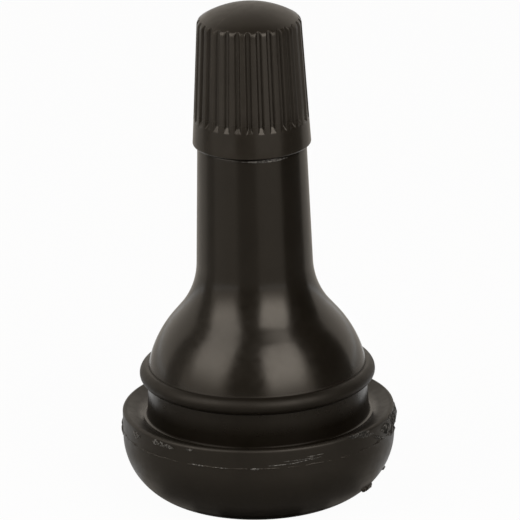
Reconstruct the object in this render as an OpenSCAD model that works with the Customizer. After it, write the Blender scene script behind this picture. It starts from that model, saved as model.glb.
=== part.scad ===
// Snap-in rubber tyre valve with a fluted screw cap and a sprung valve core.
// Millimetres. +Z runs up the valve's axis, and the origin is the middle of the base's underside.

/* [Rubber body] */
// Diameter of the base flange's straight wall
base_d = 23.9; // [22.5:0.1:26]
// Height of the base flange's upper outer edge
base_h = 8.1; // [7.4:0.05:9]
// Diameter of the flat ring that the base stands on
foot_d = 14; // [12:0.1:17]
// Height at which the rounded flank meets the straight wall
flank_h = 5.7; // [4.5:0.1:6.2]
// Rounding of the base flange's upper outer edge
lip_round = 0.25; // [0.1:0.05:0.5]
// Fall of the base flange's upper face from its edge to the groove's foot
dish_drop = 0.75; // [0.3:0.05:1]
// Depth of the mould's parting line below the base flange's upper edge
parting_drop = 1.7; // [1.2:0.05:2.2]
// Thickness of the fin that the parting line leaves
fin_h = 0.14; // [0.08:0.02:0.3]
// How far the fin stands out from the wall
fin_w = 0.1; // [0.04:0.02:0.2]
// Diameter of the air hole through the base
air_hole_d = 4.4; // [3.4:0.1:5.6]
// Depth of the countersink at the mouth of the air hole
air_mouth = 0.5; // [0.2:0.1:1]

/* [Rim groove and bead] */
// Diameter of the groove that the rim's hole grips, at its upper end
groove_d = 19.2; // [18:0.02:20]
// Lean of the groove's wall, from upright
groove_lean = 2.5; // [0:0.1:5]
// Rounding of the corner at the groove's foot
groove_round = 0.25; // [0.1:0.05:0.5]
// Width of the groove, from the base's upper edge to the middle of the bead
groove_w = 3.25; // [2.6:0.05:4]
// Radius of the rounded bead above the groove
bead_r = 0.75; // [0.5:0.05:0.9]

/* [Bell and neck] */
// How far the bell's foot stands out from the groove
bell_step = 0.1; // [0:0.01:0.3]
// Lean of the bell's side at its foot, from upright
bell_foot_slope = 8.3; // [4:0.1:16]
// Steepest lean of the bell's side, from upright
bell_slope = 40.4; // [36:0.1:46]
// Radius of the bell's rounded shoulder
bell_round_r = 10; // [8:0.1:12]
// Radius of the hollow between the shoulder and the neck
bell_hollow_r = 6.9; // [5:0.05:8]
// Taper of the neck, from upright
neck_taper = 1.7; // [0.8:0.1:2.2]
// Diameter of the neck at its upper end
neck_top_d = 9.56; // [9:0.02:9.9]
// Height of the rubber's upper end
neck_top_h = 32.25; // [30:0.05:34]
// Rounding of the neck's upper edge
neck_round = 0.15; // [0.1:0.05:0.6]

/* [Stem] */
// Length of the valve from the base's underside to the stem's tip
valve_len = 42.5; // [41:0.1:45]
// Height of the stem's lower end inside the rubber
stem_foot_h = 9; // [8:0.1:12]
// Outside diameter of the cap's thread on the stem
thread_d = 7.66; // [7.2:0.02:8]
// Length of thread that goes down into the rubber
thread_hidden = 1.1; // [0.4:0.1:3]
// Chamfer at the stem's tip
tip_chamfer = 0.5; // [0.2:0.05:0.8]
// How far the shank that the rubber is bonded to lies inside the thread
shank_step = 0.23; // [0.1:0.01:0.5]
// Diameter of the flange at the stem's lower end
stem_flange_d = 8.8; // [7.8:0.1:11]
// Thickness of the flange at the stem's lower end
stem_flange_h = 1; // [0.6:0.1:2]
// Number of bonding grooves round the shank
bond_n = 4; // [1:1:6]
// Height of one bonding groove
bond_w = 1; // [0.6:0.1:1.4]
// Depth of one bonding groove
bond_depth = 0.35; // [0.2:0.05:0.6]
// Distance between bonding grooves
bond_pitch = 2.4; // [1.8:0.1:3]
// Diameter of the air passage below the valve core
passage_d = 3; // [2.4:0.1:3.6]
// Free length of the chamber below the pin when it is pushed home
chamber_spare = 2.2; // [1:0.1:4]
// Lean of the inner cone that the barrel's gasket seals on, from upright
seat_slope = 20; // [16:0.5:23]
// Length of that cone below the gasket
seat_lead = 0.15; // [0.1:0.01:0.3]
// Length of clear bore between the cone and the plug
seat_relief = 0.6; // [0.4:0.05:0.7]
// Countersink of the core's thread at the stem's tip
tip_bore = 0.35; // [0.2:0.05:0.5]

/* [Core plug] */
// Outside diameter of the plug's thread
plug_d = 5.12; // [5:0.02:5.4]
// Depth of the plug's top below the stem's tip
plug_recess = 0.7; // [0.4:0.1:1.2]
// Length of the plug's thread
plug_len = 3.4; // [2.8:0.1:4]
// Bore of the plug
plug_bore_d = 3; // [2.8:0.05:3.4]
// Height of the bridge across the plug's top
bridge_h = 1.8; // [1.4:0.1:2.2]
// Width of the bridge across its flats
bridge_w = 2.4; // [2.2:0.1:2.8]
// How far the bridge's rounded ends lie inside the thread
bridge_inset = 0.21; // [0.1:0.01:0.3]
// Height of the air slots under the bridge
bridge_gap = 0.6; // [0.4:0.1:0.9]
// Thickness of the web at the plug's lower end
web_h = 0.5; // [0.3:0.05:0.8]
// Length of the swivel tail below the plug's thread
tail_len = 0.82; // [0.7:0.02:1]
// Outside diameter of the swivel tail
tail_d = 2.9; // [2.8:0.02:2.96]
// Bore of the swivel tail and of the barrel
core_bore_d = 2.4; // [2.3:0.02:2.5]
// How far the flange that holds the barrel stands out from the tail
tail_lip = 0.15; // [0.1:0.01:0.2]
// Thickness of that flange
tail_flange_h = 0.32; // [0.2:0.02:0.4]
// Gap between the plug and the barrel
swivel_gap = 0.15; // [0.1:0.01:0.2]

/* [Core barrel] */
// Outside diameter of the barrel
barrel_d = 3.5; // [3.4:0.02:3.6]
// Length of the barrel
barrel_len = 6.68; // [6:0.02:7.5]
// Wall of the barrel's head round the swivel
head_wall = 0.39; // [0.3:0.01:0.45]
// Height of the barrel's head
head_h = 0.9; // [0.85:0.01:1]
// Height of the gasket on the barrel
gasket_h = 0.75; // [0.6:0.05:0.9]
// Height of the ring under the gasket
shoulder_h = 0.5; // [0.3:0.05:0.8]
// Height of the spring's ledge above the barrel's lower end
ledge_h = 1.23; // [1:0.01:1.6]
// How far the sealing lip at the barrel's lower end lies inside the washer's edge
lip_inset = 0.03; // [0.02:0.01:0.1]
// Width of the sealing lip
lip_w = 0.3; // [0.2:0.02:0.4]
// Height of the sealing lip
lip_h = 0.4; // [0.3:0.05:0.6]

/* [Pin and spring] */
// Diameter of the pin
pin_d = 1.2; // [1.1:0.02:1.3]
// Depth of the pin's tip below the stem's tip
pin_recess = 0.4; // [0.2:0.05:0.6]
// Diameter of the pin's tip
pin_tip_d = 1.44; // [1.36:0.02:1.5]
// Length of the pin's tip
pin_tip_len = 1.2; // [0.8:0.1:1.3]
// Rounding of the pin's tip
pin_tip_round = 0.43; // [0.2:0.01:0.6]
// Distance from the pin's tip down to the spring's collar
collar_drop = 3.5; // [3.3:0.05:4]
// Diameter of the spring's collar on the pin
collar_d = 2.1; // [2:0.02:2.2]
// Thickness of the spring's collar
collar_h = 0.4; // [0.3:0.05:0.6]
// How far the pin can be pushed in
press_travel = 1.6; // [1:0.1:1.8]
// Diameter of the head riveted on the pin's lower end
rivet_d = 1.7; // [1.6:0.05:2]
// Height of that head
rivet_h = 0.38; // [0.25:0.01:0.5]
// Mean diameter of the spring's coils
spring_d = 1.84; // [1.78:0.01:1.88]
// Diameter of the spring's wire
wire_d = 0.3; // [0.24:0.01:0.34]
// Number of turns in the spring
spring_turns = 9; // [7:1:12]

/* [Cup and washer] */
// Outside diameter of the cup
cup_d = 3.5; // [3.4:0.02:3.6]
// Wall of the cup
cup_wall = 0.3; // [0.2:0.02:0.34]
// Thickness of the cup's floor
cup_floor = 0.48; // [0.3:0.02:0.6]
// Thickness of the washer in the cup
washer_h = 1.05; // [0.9:0.05:1.3]
// How far the washer stands above the cup's rim
washer_proud = 0.15; // [0.1:0.01:0.3]

/* [Cap] */
// Least wall of the cap, between its bore and the floor of a flute
cap_wall = 0.41; // [0.35:0.01:0.8]
// Thickness of the cap's roof at its middle
roof_t = 1.6; // [1.2:0.05:2]
// Draft of the cap's side, from upright
cap_draft = 3.2; // [2:0.1:4]
// Radius of the domed top
dome_r = 8.1; // [7:0.1:12]
// Rounding of the top's edge
dome_round = 0.6; // [0.3:0.05:0.7]
// Rounding of the skirt's lower edge
skirt_round = 0.14; // [0.05:0.01:0.25]
// Clear height between the rubber and the cap
skirt_gap = 0.1; // [0.05:0.05:0.5]
// Depth of the lead-in at the cap's mouth
lead_in = 0.35; // [0.2:0.05:0.5]
// Number of flutes
flute_n = 30; // [24:1:32]
// Turn of the first flute about the axis
flute_turn = -92; // [-96:0.5:-84]
// Width of a flute at the surface
flute_mouth = 0.62; // [0.5:0.01:0.68]
// Width of a flute's floor
flute_floor = 0.22; // [0.1:0.01:0.3]
// Depth of a flute
flute_depth = 0.27; // [0.2:0.01:0.34]
// Height of the plain band below the flutes
band_h = 2.2; // [1.5:0.1:4]
// Length of the slope at a flute's lower end
run_out = 0.55; // [0.3:0.05:1]
// Thickness of the rubber seal under the cap's roof
seal_h = 0.76; // [0.5:0.02:1.2]
// Diameter of the hole in the seal
seal_hole_d = 3; // [2:0.1:4]

/* [Clearances] */
// Gap where rubber is bonded to the stem
bond_gap = 0.02; // [0.01:0.01:0.04]
// Radial clearance of the cap on the stem's thread
cap_clear = 0.05; // [0.03:0.01:0.08]
// Radial clearance of the plug in the stem's thread
plug_clear = 0.04; // [0.03:0.01:0.08]
// Clearance where pieces of the core touch
core_clear = 0.02; // [0.01:0.01:0.03]
// Radial clearance of the swivel, and of the seal in the cap
swivel_clear = 0.06; // [0.04:0.01:0.08]
// Radial clearance of the pin's tip in the bridge
pin_clear = 0.12; // [0.08:0.01:0.2]
// Gap for air round the pin at the spring's ledge
air_gap = 0.25; // [0.15:0.01:0.28]
// Gap for air round the barrel and the cup
chamber_gap = 0.2; // [0.12:0.01:0.25]

/* [Hidden] */
$fn = 96;
// How far a cut reaches past the face that it opens
over = 1;

rubber_black = "#1d1b1a";
plastic_black = "#211f1e";
brass = "#c8a04c";
steel = "#b9bcc0";
seal_black = "#2a2827";
gasket_white = "#e6e2d6";

// Places along the outside of the rubber
base_r = base_d / 2;
groove_r = groove_d / 2;
bead_h = base_h + groove_w;
dish_h = base_h - dish_drop;
dish_r = groove_r + (bead_h - dish_h) * tan(groove_lean);
parting_h = base_h - parting_drop;
neck_top_r = neck_top_d / 2;

// The base's upper face runs from the groove's foot to the lip, and touches the roundings at both ends
lip_c = [base_r - lip_round, base_h - lip_round];
lip_off = lip_c - [dish_r, dish_h];
dish_slope = atan2(lip_off[1], lip_off[0]) + asin(lip_round / norm(lip_off));
foot_open = 90 + groove_lean - dish_slope;
groove_c = [dish_r, dish_h] + groove_round / sin(foot_open / 2) * along(dish_slope + foot_open / 2);

// The flank is one arc from the foot's edge, level with the wall at its upper end
flank_w = base_r - foot_d / 2;
flank_r = (flank_w * flank_w + flank_h * flank_h) / (2 * flank_w);
flank_start = asin(flank_h / flank_r);

// The bell's shoulder and hollow are two arcs with a straight side between them, and the hollow runs into
// the neck's taper. Where the bell is too narrow for both arcs, bell_fit makes them smaller.
bell_foot_r = groove_r + bell_step;
bell_rise = bell_hollow_r * (sin(bell_slope) - sin(neck_taper))
            + bell_round_r * (sin(bell_slope) - sin(bell_foot_slope));
bell_run = bell_hollow_r * (cos(neck_taper) - cos(bell_slope))
           + bell_round_r * (cos(bell_foot_slope) - cos(bell_slope));
bell_in = bell_foot_r - neck_top_r - (neck_top_h - bead_h) * tan(neck_taper);
arcs_in = bell_run - bell_rise * tan(neck_taper);
bell_fit = min(1, bell_in / arcs_in);
round_r = bell_round_r * bell_fit;
hollow_r = bell_hollow_r * bell_fit;
bell_flat = (bell_in - arcs_in * bell_fit) / (sin(bell_slope) - cos(bell_slope) * tan(neck_taper));
round_c = [bell_foot_r, bead_h] - round_r * along(bell_foot_slope);
hollow_c = round_c + (round_r + hollow_r) * along(bell_slope) + bell_flat * along(bell_slope + 90);

// Places along the valve core, worked down from the stem's tip
plug_top = valve_len - plug_recess;
bridge_low = plug_top - bridge_h;
plug_low = bridge_low - plug_len;
tail_low = plug_low - tail_len;
barrel_top = plug_low - swivel_gap;
head_low = barrel_top - head_h;
gasket_top = head_low - core_clear;
gasket_low = gasket_top - gasket_h;
shoulder_top = gasket_low - core_clear;
shoulder_low = shoulder_top - shoulder_h;
barrel_low = barrel_top - barrel_len;
ledge_z = barrel_low + ledge_h;
washer_top = barrel_low - core_clear;
washer_low = washer_top - washer_h;
cup_inside = washer_low - core_clear;
cup_low = cup_inside - cup_floor;
cup_rim = washer_top - washer_proud;
rivet_top = cup_low - core_clear;
rivet_low = rivet_top - rivet_h;
pin_top = valve_len - pin_recess;
collar_low = pin_top - collar_drop;
spring_low = ledge_z + core_clear;
spring_high = collar_low - core_clear;

// Widths of the core's pieces that follow from what they hold
washer_d = cup_d - 2 * cup_wall - 2 * core_clear;
lip_d = washer_d - 2 * lip_inset;
tail_flange_d = tail_d + 2 * tail_lip;
socket_d = tail_flange_d + 2 * swivel_clear;
head_d = socket_d + 2 * head_wall;
bridge_d = plug_d - 2 * bridge_inset;
pin_hole_d = pin_tip_d + 2 * pin_clear;
ledge_hole_d = pin_d + 2 * air_gap;

// Sizes of the stem that follow from what it holds
thread_r = thread_d / 2;
shank_r = thread_r - shank_step;
thread_low = neck_top_h - thread_hidden;
chamber_r = max(barrel_d, cup_d) / 2 + chamber_gap;
plug_bore_r = plug_d / 2 + plug_clear;
seat_low = gasket_low - seat_lead;
seat_high = plug_low - seat_relief;
chamber_low = rivet_low - press_travel - chamber_spare;

// Places along the cap
cap_bore_r = thread_r + cap_clear;
cap_low = neck_top_h + skirt_gap;
seal_low = valve_len + core_clear;
seal_top = seal_low + seal_h;
roof_low = seal_top + core_clear;
cap_top = roof_low + roof_t;
cap_edge_r = cap_bore_r + cap_wall + flute_depth;
cap_low_r = cap_edge_r + (roof_low - cap_low) * tan(cap_draft);
dome_c = cap_top - dome_r;

// The top's rounded edge touches the drafted side and the dome from inside
edge_a = cap_low_r + cap_low * tan(cap_draft) - dome_round / cos(cap_draft);
edge_b = edge_a * tan(cap_draft) + dome_c;
edge_k = 1 + pow(tan(cap_draft), 2);
edge_q = edge_a * edge_a + dome_c * dome_c - pow(dome_r - dome_round, 2);
edge_z = (edge_b + sqrt(edge_b * edge_b - edge_k * edge_q)) / edge_k;
edge_r = edge_a - edge_z * tan(cap_draft);
edge_lean = atan2(edge_z - dome_c, edge_r);

// Tags of moulding flash left on the parting line: turn, width in degrees, depth below, height above, reach
flash_tags = [
    [-21, 19.5, 0.35, 1.2, 0.27],
    [176, 5, 0.75, 0.45, 0.18],
];

function along(a) = [cos(a), sin(a)];

function arc(c, r, a, b, n = 14) = [for (i = [0:n]) c + r * along(a + (b - a) * i / n)];

function bond_groove(low, high, floor_r, gap) = [
    [shank_r + gap, low + gap],
    [floor_r + gap, low + gap],
    [floor_r + gap, high - gap],
    [shank_r + gap, high - gap],
];

// The stem's outside from its lower end to its tip, grown by gap for the rubber's bore
function stem_side(gap, top, chamfer) = concat(
    [
        [stem_flange_d / 2 + gap, stem_foot_h - gap],
        [stem_flange_d / 2 + gap, stem_foot_h + stem_flange_h + gap],
        [shank_r + gap, stem_foot_h + stem_flange_h + gap],
    ],
    [
        for (i = [1:bond_n])
            let (low = stem_foot_h + stem_flange_h + i * bond_pitch - bond_w)
                each bond_groove(low, low + bond_w, shank_r - bond_depth, gap)
    ],
    [
        [shank_r + gap, thread_low - gap],
        [thread_r + gap, thread_low - gap],
        [thread_r + gap, top - chamfer],
        [thread_r + gap - chamfer, top],
    ]
);

// A piece turned about the axis
module turned(outline) {
    rotate_extrude() polygon(outline);
}

// A round bar or hole on the axis
module round_bar(d, low, high) {
    translate([0, 0, low]) cylinder(d = d, h = high - low);
}

// A cone that opens the mouth of a hole of radius r, depth deep, in a face that looks down
module countersink(r, depth, face) {
    translate([0, 0, face - over]) cylinder(r1 = r + depth + over, r2 = r, h = depth + over);
}

// Base flange, groove, bell and neck in one outline, with the bead laid round the groove's upper end
module rubber_body() {
    color(rubber_black) difference() {
        union() {
            turned(concat(
                [[0, 0]],
                arc([base_r - flank_r, flank_h], flank_r, -flank_start, 0, 18),
                arc(lip_c, lip_round, 0, 90 + dish_slope, 6),
                arc(groove_c, groove_round, dish_slope - 90, groove_lean - 180, 6),
                [[groove_r, bead_h]],
                arc(round_c, round_r, bell_foot_slope, bell_slope),
                arc(hollow_c, hollow_r, bell_slope + 180, neck_taper + 180),
                arc([neck_top_r - neck_round, neck_top_h - neck_round], neck_round, neck_taper, 90, 5),
                [[0, neck_top_h]]
            ));
            rotate_extrude() translate([groove_r, bead_h]) circle(r = bead_r);
            parting_fin();
            for (tag = flash_tags) flash_tag(tag);
        }
        turned(concat(
            [[0, stem_foot_h - bond_gap]],
            stem_side(bond_gap, neck_top_h + over, 0),
            [[0, neck_top_h + over]]
        ));
        round_bar(air_hole_d, -over, stem_foot_h);
        countersink(air_hole_d / 2, air_mouth, 0);
    }
}

module parting_fin() {
    turned([
        [base_r - fin_w, parting_h - fin_h],
        [base_r + fin_w, parting_h - fin_h / 4],
        [base_r + fin_w, parting_h + fin_h / 4],
        [base_r - fin_w, parting_h + fin_h],
    ]);
}

module flash_tag(tag) {
    below = tag[2];
    above = tag[3];
    reach = tag[4];
    rotate(tag[0]) rotate_extrude(angle = tag[1]) polygon([
        [base_r - reach, parting_h - below],
        [base_r + reach, parting_h - below / 2],
        [base_r + reach, parting_h + above / 2],
        [base_r - reach, parting_h + above],
    ]);
}

// Turned brass stem: outside for the rubber and the cap, inside for the core
module valve_stem() {
    color(brass) difference() {
        turned(concat([[0, stem_foot_h]], stem_side(0, valve_len, tip_chamfer), [[0, valve_len]]));
        round_bar(passage_d, stem_foot_h - over, chamber_low + over);
        turned([
            [0, chamber_low],
            [chamber_r, chamber_low],
            [chamber_r, seat_low],
            [chamber_r + (seat_high - seat_low) * tan(seat_slope), seat_high],
            [plug_bore_r, seat_high],
            [plug_bore_r, valve_len - tip_bore],
            [plug_bore_r + tip_bore + over, valve_len + over],
            [0, valve_len + over],
        ]);
    }
}

// Threaded plug with a bridge for the key, air slots under it and a flanged tail for the barrel
module core_plug() {
    color(brass) difference() {
        union() {
            round_bar(plug_d, plug_low, bridge_low);
            intersection() {
                round_bar(bridge_d, bridge_low - over, plug_top);
                translate([-bridge_d / 2, -bridge_w / 2, bridge_low - over])
                    cube([bridge_d, bridge_w, bridge_h + over]);
            }
            round_bar(tail_d, tail_low, plug_low + web_h);
            round_bar(tail_flange_d, tail_low, tail_low + tail_flange_h);
        }
        round_bar(plug_bore_d, plug_low + web_h, bridge_low + bridge_gap);
        round_bar(core_bore_d, tail_low - over, plug_low + web_h + over);
        round_bar(pin_hole_d, bridge_low, plug_top + over);
    }
}

// Barrel with a socket for the plug's tail, a seat for the gasket and a sealing lip at its lower end
module core_barrel() {
    color(brass) turned([
        [lip_d / 2 - lip_w, barrel_low],
        [lip_d / 2, barrel_low],
        [lip_d / 2, barrel_low + lip_h],
        [barrel_d / 2, barrel_low + lip_h],
        [barrel_d / 2, shoulder_low],
        [chamber_r - swivel_clear, shoulder_low],
        [chamber_r - swivel_clear, shoulder_top],
        [barrel_d / 2, shoulder_top],
        [barrel_d / 2, head_low],
        [head_d / 2, head_low],
        [head_d / 2, barrel_top],
        [tail_d / 2 + swivel_clear, barrel_top],
        [tail_d / 2 + swivel_clear, tail_low + tail_flange_h + core_clear],
        [socket_d / 2, tail_low + tail_flange_h + core_clear],
        [socket_d / 2, tail_low - core_clear],
        [core_bore_d / 2, tail_low - core_clear],
        [core_bore_d / 2, ledge_z],
        [ledge_hole_d / 2, ledge_z],
        [ledge_hole_d / 2, barrel_low + lip_h],
        [lip_d / 2 - lip_w, barrel_low + lip_h],
    ]);
}

// Coned ring that lies core_clear inside the stem's cone
module barrel_gasket() {
    low_r = chamber_r + (gasket_low - seat_low) * tan(seat_slope) - core_clear;
    color(gasket_white) turned([
        [barrel_d / 2 + core_clear, gasket_low],
        [low_r, gasket_low],
        [low_r + gasket_h * tan(seat_slope), gasket_top],
        [barrel_d / 2 + core_clear, gasket_top],
    ]);
}

// Round wire wound on a helix, with a closed turn at each end
module core_spring() {
    sides = 8;
    steps = 20;
    rings = spring_turns * steps;
    wire_r = wire_d / 2;
    closed_pitch = wire_d + core_clear;
    height = spring_high - spring_low - wire_d;
    active_pitch = (height - 2 * closed_pitch) / (spring_turns - 2);
    function rise(turn) = turn < 1 ? turn * closed_pitch
        : turn > spring_turns - 1 ? height - (spring_turns - turn) * closed_pitch
        : closed_pitch + active_pitch * (turn - 1);
    points = [for (i = [0:rings]) for (j = [0:sides - 1])
        let (a = 360 * i / steps, b = 360 * j / sides, r = spring_d / 2 + wire_r * cos(b))
        [r * cos(a), r * sin(a), spring_low + wire_r + rise(i / steps) + wire_r * sin(b)]];
    walls = [for (i = [0:rings - 1]) for (j = [0:sides - 1])
        let (k = (j + 1) % sides)
        [i * sides + j, i * sides + k, (i + 1) * sides + k, (i + 1) * sides + j]];
    start = [for (j = [sides - 1:-1:0]) j];
    end = [for (j = [0:sides - 1]) rings * sides + j];
    color(steel) polyhedron(points, concat([start], walls, [end]));
}

// Pin with a rounded tip, the spring's collar and the riveted end below the cup
module core_pin() {
    tip_r = pin_tip_d / 2;
    color(brass) turned(concat(
        [
            [0, rivet_low],
            [rivet_d / 2 - rivet_h / 2, rivet_low],
            [rivet_d / 2, rivet_low + rivet_h / 2],
            [rivet_d / 2, rivet_top],
            [pin_d / 2, rivet_top],
            [pin_d / 2, collar_low],
            [collar_d / 2, collar_low],
            [collar_d / 2, collar_low + collar_h],
            [pin_d / 2, collar_low + collar_h],
            [pin_d / 2, pin_top - pin_tip_len],
            [tip_r, pin_top - pin_tip_len],
        ],
        arc([tip_r - pin_tip_round, pin_top - pin_tip_round], pin_tip_round, 0, 90, 6),
        [[0, pin_top]]
    ));
}

module pin_cup() {
    color(brass) difference() {
        round_bar(cup_d, cup_low, cup_rim);
        round_bar(cup_d - 2 * cup_wall, cup_inside, cup_rim + over);
        round_bar(pin_d + 2 * core_clear, cup_low - over, cup_inside + over);
    }
}

module seat_washer() {
    color(seal_black) difference() {
        round_bar(washer_d, washer_low, washer_top);
        round_bar(pin_d + 2 * core_clear, washer_low - over, washer_top + over);
    }
}

// One flute in line with the drafted side: a tapered channel that slopes out at its lower end
module flute() {
    proud = 0.2;
    half_floor = flute_floor / 2;
    half_proud = half_floor + (flute_mouth - flute_floor) / 2 * (flute_depth + proud) / flute_depth;
    length = cap_top - cap_low + over;
    translate([cap_low_r, 0, cap_low]) rotate([0, -cap_draft, 0]) intersection() {
        linear_extrude(length) polygon([
            [-flute_depth, -half_floor],
            [proud, -half_proud],
            [proud, half_proud],
            [-flute_depth, half_floor],
        ]);
        rotate([90, 0, 0]) translate([0, 0, -over]) linear_extrude(2 * over) polygon([
            [-flute_depth - over, band_h + run_out + run_out / flute_depth * over],
            [proud + over, band_h - run_out / flute_depth * (proud + over)],
            [proud + over, length + over],
            [-flute_depth - over, length + over],
        ]);
    }
}

// Drafted, fluted cap with a domed top, a plain lower band and a bore that runs on the stem's thread
module cap_shell() {
    color(plastic_black) difference() {
        turned(concat(
            [[0, cap_low]],
            arc([cap_low_r - skirt_round, cap_low + skirt_round], skirt_round, -90, cap_draft, 5),
            arc([edge_r, edge_z], dome_round, cap_draft, edge_lean, 8),
            arc([0, dome_c], dome_r, edge_lean, 90)
        ));
        for (i = [0:flute_n - 1]) rotate(flute_turn + 360 * i / flute_n) flute();
        round_bar(2 * cap_bore_r, cap_low - over, roof_low);
        countersink(cap_bore_r, lead_in, cap_low);
    }
}

module cap_seal() {
    color(seal_black) difference() {
        round_bar(2 * (cap_bore_r - swivel_clear), seal_low, seal_top);
        round_bar(seal_hole_d, seal_low - over, seal_top + over);
    }
}

rubber_body();
valve_stem();
core_plug();
core_barrel();
barrel_gasket();
core_spring();
core_pin();
pin_cup();
seat_washer();
cap_shell();
cap_seal();
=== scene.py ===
"""Looks of a snap-in tyre valve: rubber body, fluted screw cap, threaded brass stem and its sprung core.

Sizes of the part are millimetres, as in its source. Meshes, lights and the camera are made in metres.
"""

import math
import random

import bmesh
import bpy
import numpy as np
from mathutils import Matrix, Vector, noise


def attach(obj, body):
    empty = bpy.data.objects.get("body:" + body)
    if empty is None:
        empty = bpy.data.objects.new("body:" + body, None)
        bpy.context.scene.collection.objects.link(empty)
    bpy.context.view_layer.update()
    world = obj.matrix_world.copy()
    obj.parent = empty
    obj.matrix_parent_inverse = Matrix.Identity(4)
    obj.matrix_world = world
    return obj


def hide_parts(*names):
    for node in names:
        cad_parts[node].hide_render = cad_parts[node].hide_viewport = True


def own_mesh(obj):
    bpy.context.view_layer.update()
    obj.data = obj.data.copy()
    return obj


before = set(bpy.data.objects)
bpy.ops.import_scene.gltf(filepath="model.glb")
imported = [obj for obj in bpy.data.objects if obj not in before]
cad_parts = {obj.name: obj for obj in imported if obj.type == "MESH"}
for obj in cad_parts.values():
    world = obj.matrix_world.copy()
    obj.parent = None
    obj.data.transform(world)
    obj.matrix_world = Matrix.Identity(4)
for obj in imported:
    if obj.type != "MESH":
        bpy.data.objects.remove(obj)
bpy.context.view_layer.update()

MM = 0.001

# Rubber body
BASE_R = 11.95
BASE_H = 8.1
FOOT_R = 7.0
FLANK_H = 5.7
LIP_ROUND = 0.25
DISH_DROP = 0.75
AIR_HOLE_R = 2.2
AIR_MOUTH = 0.5
GROOVE_R = 9.6
GROOVE_LEAN = 2.5
GROOVE_ROUND = 0.25
BEAD_H = 11.35
BEAD_R = 0.75
BELL_FOOT_R = 9.7
BELL_FOOT_SLOPE = 8.3
BELL_SLOPE = 40.4
BELL_ROUND_R = 10.0
BELL_HOLLOW_R = 6.9
NECK_TAPER = 1.7
NECK_TOP_R = 4.78
NECK_TOP_H = 32.25
NECK_ROUND = 0.15
BOND_GAP = 0.02

# Stem and its thread
VALVE_LEN = 42.5
STEM_FOOT_H = 9.0
STEM_FLANGE_R = 4.4
STEM_FLANGE_H = 1.0
SHANK_R = 3.6
BOND_N = 4
BOND_W = 1.0
BOND_DEPTH = 0.35
BOND_PITCH = 2.4
THREAD_R = 3.83
THREAD_LOW = 31.15
THREAD_DEPTH = 0.49
THREAD_LEAD = 0.25
STEM_RIDGE_IN = 0.3
PITCH = 0.79375
TIP_CHAMFER = 0.5
PASSAGE_R = 1.5
CHAMBER_R = 1.95
CHAMBER_LOW = 24.0
SEAT_LOW = 34.63
SEAT_HIGH = 36.0
SEAT_SLOPE = 20.0
PLUG_BORE_R = 2.6
TIP_BORE = 0.35
FLANGE_TOP = STEM_FOOT_H + STEM_FLANGE_H
BOND_LOWS = [FLANGE_TOP + i * BOND_PITCH - BOND_W for i in range(1, BOND_N + 1)]

# Cap
CAP_LOW = 32.35
CAP_LOW_R = 5.172
CAP_TOP = 44.9
CAP_DRAFT = 3.2
CAP_LEAN = math.tan(math.radians(CAP_DRAFT))
CAP_BORE_R = 3.88
CAP_RIDGE_DEPTH = 0.46
CAP_RIDGE_IN = 0.9
CAP_RIDGE_OUT = 1.2
ROOF_LOW = 43.3
DOME_R = 8.1
DOME_C = CAP_TOP - DOME_R
DOME_ROUND = 0.6
SKIRT_ROUND = 0.14
LEAD_IN = 0.35
FLUTE_N = 30
FLUTE_TURN = -92.0
FLUTE_MOUTH = 0.62
FLUTE_FLOOR = 0.22
FLUTE_DEPTH = 0.27
FLUTE_SOFT = 0.035
BAND_H = 2.2
RUN_OUT = 0.55
RUN_OUT_SOFT = 0.03

# Spacing of points on small roundings, on the bead and the dome, and on hidden straight stretches
FINE_STEP = 0.04
CLOSE_STEP = 0.06
WIDE_STEP = 1.0


# Outlines: lists of (radius, height)


def along(degrees):
    """A step of length 1 in a direction."""
    a = math.radians(degrees)
    return np.array((math.cos(a), math.sin(a)))


def arc(centre, radius, start, end, step=0.16, turn=15):
    """Points on an arc, at most step millimetres and turn degrees apart."""
    sweep = abs(end - start)
    n = max(3, math.ceil(radius * math.radians(sweep) / step), math.ceil(sweep / turn))
    return [np.array(centre) + radius * along(start + (end - start) * i / n) for i in range(n + 1)]


def line(start, end, step=0.3):
    """Points from start to end, both included, step apart or closer."""
    start, end = np.array(start, float), np.array(end, float)
    n = max(1, math.ceil(np.linalg.norm(end - start) / step))
    return [start + (end - start) * i / n for i in range(n + 1)]


def clear_of(points, centre, radius):
    """Those of the points that lie outside a circle."""
    return [p for p in points if math.dist(p, centre) > radius]


def flank_circle():
    """Centre and radius of the base's rounded flank, and the angle at which it leaves the foot."""
    width = BASE_R - FOOT_R
    radius = (width**2 + FLANK_H**2) / (2 * width)
    return (BASE_R - radius, FLANK_H), radius, -math.degrees(math.asin(FLANK_H / radius))


def wall_r(z):
    """Radius of the base's outside at a height below its lip."""
    centre, radius, _ = flank_circle()
    return BASE_R if z >= FLANK_H else centre[0] + math.sqrt(radius**2 - (FLANK_H - z) ** 2)


def dish_roundings():
    """Centres of the lip's and the groove foot's roundings, and the slope of the face that touches both."""
    foot_h = BASE_H - DISH_DROP
    foot = np.array((GROOVE_R + (BEAD_H - foot_h) * math.tan(math.radians(GROOVE_LEAN)), foot_h))
    lip_c = np.array((BASE_R - LIP_ROUND, BASE_H - LIP_ROUND))
    off = lip_c - foot
    face = math.degrees(math.atan2(off[1], off[0]) + math.asin(LIP_ROUND / np.linalg.norm(off)))
    half = (90 + GROOVE_LEAN - face) / 2
    groove_c = foot + GROOVE_ROUND / math.sin(math.radians(half)) * along(face + half)
    return lip_c, groove_c, face


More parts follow.
